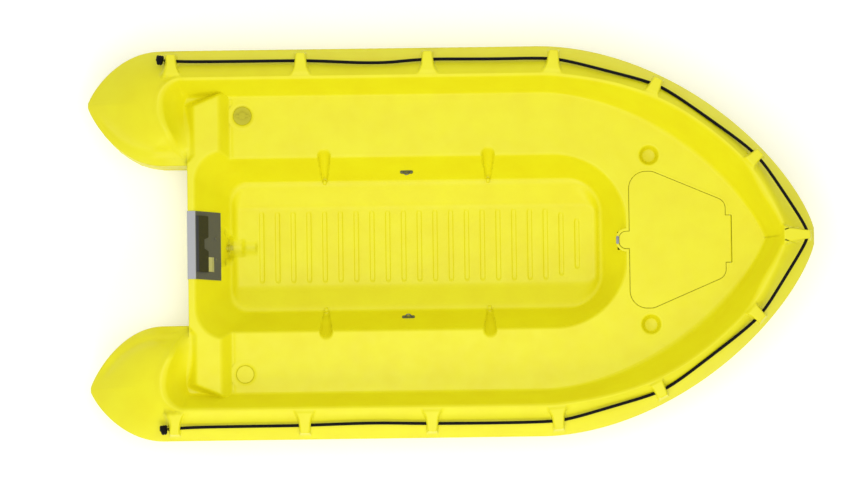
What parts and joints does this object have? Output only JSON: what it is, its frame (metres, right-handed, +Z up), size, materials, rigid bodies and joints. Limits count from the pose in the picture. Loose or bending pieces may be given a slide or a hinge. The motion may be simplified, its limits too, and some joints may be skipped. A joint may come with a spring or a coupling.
{
  "type": "rigid plastic dinghy",
  "caption": "Open twin-skin plastic dinghy with pointed twin tails, side benches, ribbed well, foredeck locker with hinged lid, motor plate and grab line.",
  "frame": {"origin": "on the ground plane under the middle of the hull's box", "axes": "+X towards the bow, +Y to port, +Z up"},
  "size_m": [3.194, 1.724, 0.5969],
  "materials": {
    "hull_polyethylene": "satin",
    "deck_polyethylene": "satin",
    "lid_polyethylene": "satin",
    "fitting_plastic": "satin",
    "flotation_foam": "matte",
    "marine_plywood": "matte",
    "anodised_aluminium": "satin",
    "black_board": "matte",
    "label_foil": "satin",
    "stainless_steel": "satin",
    "seal_rubber": "matte",
    "black_rope": "matte"
  },
  "bodies": {
    "boat": {"hull_shell": "hull_polyethylene", "deck_shell": "deck_polyethylene", "port_foam": "flotation_foam", "starboard_foam": "flotation_foam", "floor_foam": "flotation_foam", "bow_foam": "flotation_foam", "transom_core": "marine_plywood", "transom_plate": "anodised_aluminium", "clamp_pad": "black_board", "data_plate": "label_foil", "plate_screws": "stainless_steel", "hatch_hinge_pin": "stainless_steel", "hatch_seal": "seal_rubber", "latch_screw": "stainless_steel", "drain_tube": "fitting_plastic", "flush_cap": "fitting_plastic", "pad_eye_port": "stainless_steel", "pad_eye_starboard": "stainless_steel", "pad_eye_screws": "stainless_steel", "grab_line": "black_rope", "knot_port": "black_rope", "knot_starboard": "black_rope"},
    "lid": {"hatch_lid": "lid_polyethylene"},
    "latch": {"hatch_latch": "stainless_steel"},
    "drain_stopper": {"drain_plug": "fitting_plastic"},
    "bung": {"screw_bung": "fitting_plastic"}
  },
  "joints": [
    {"name": "lid_hinge", "type": "hinge", "parent": "boat", "child": "lid", "pos_m": [1.234, 0, 0.3535], "axis": [0, 1, 0], "range_deg": [0, 95]},
    {"name": "latch_turn", "type": "hinge", "parent": "boat", "child": "latch", "pos_m": [0.737, 0, 0.362], "axis": [0, 0, 1], "range_deg": [0, 90]},
    {"name": "drain_pull", "type": "slide", "parent": "boat", "child": "drain_stopper", "axis": [1, 0, 0], "range_m": [0, 0.045]},
    {"name": "bung_turn", "type": "hinge", "parent": "boat", "child": "bung", "pos_m": [-0.912, 0.571, 0.36], "axis": [0, 0, 1], "range_deg": [0, 90]}
  ]
}
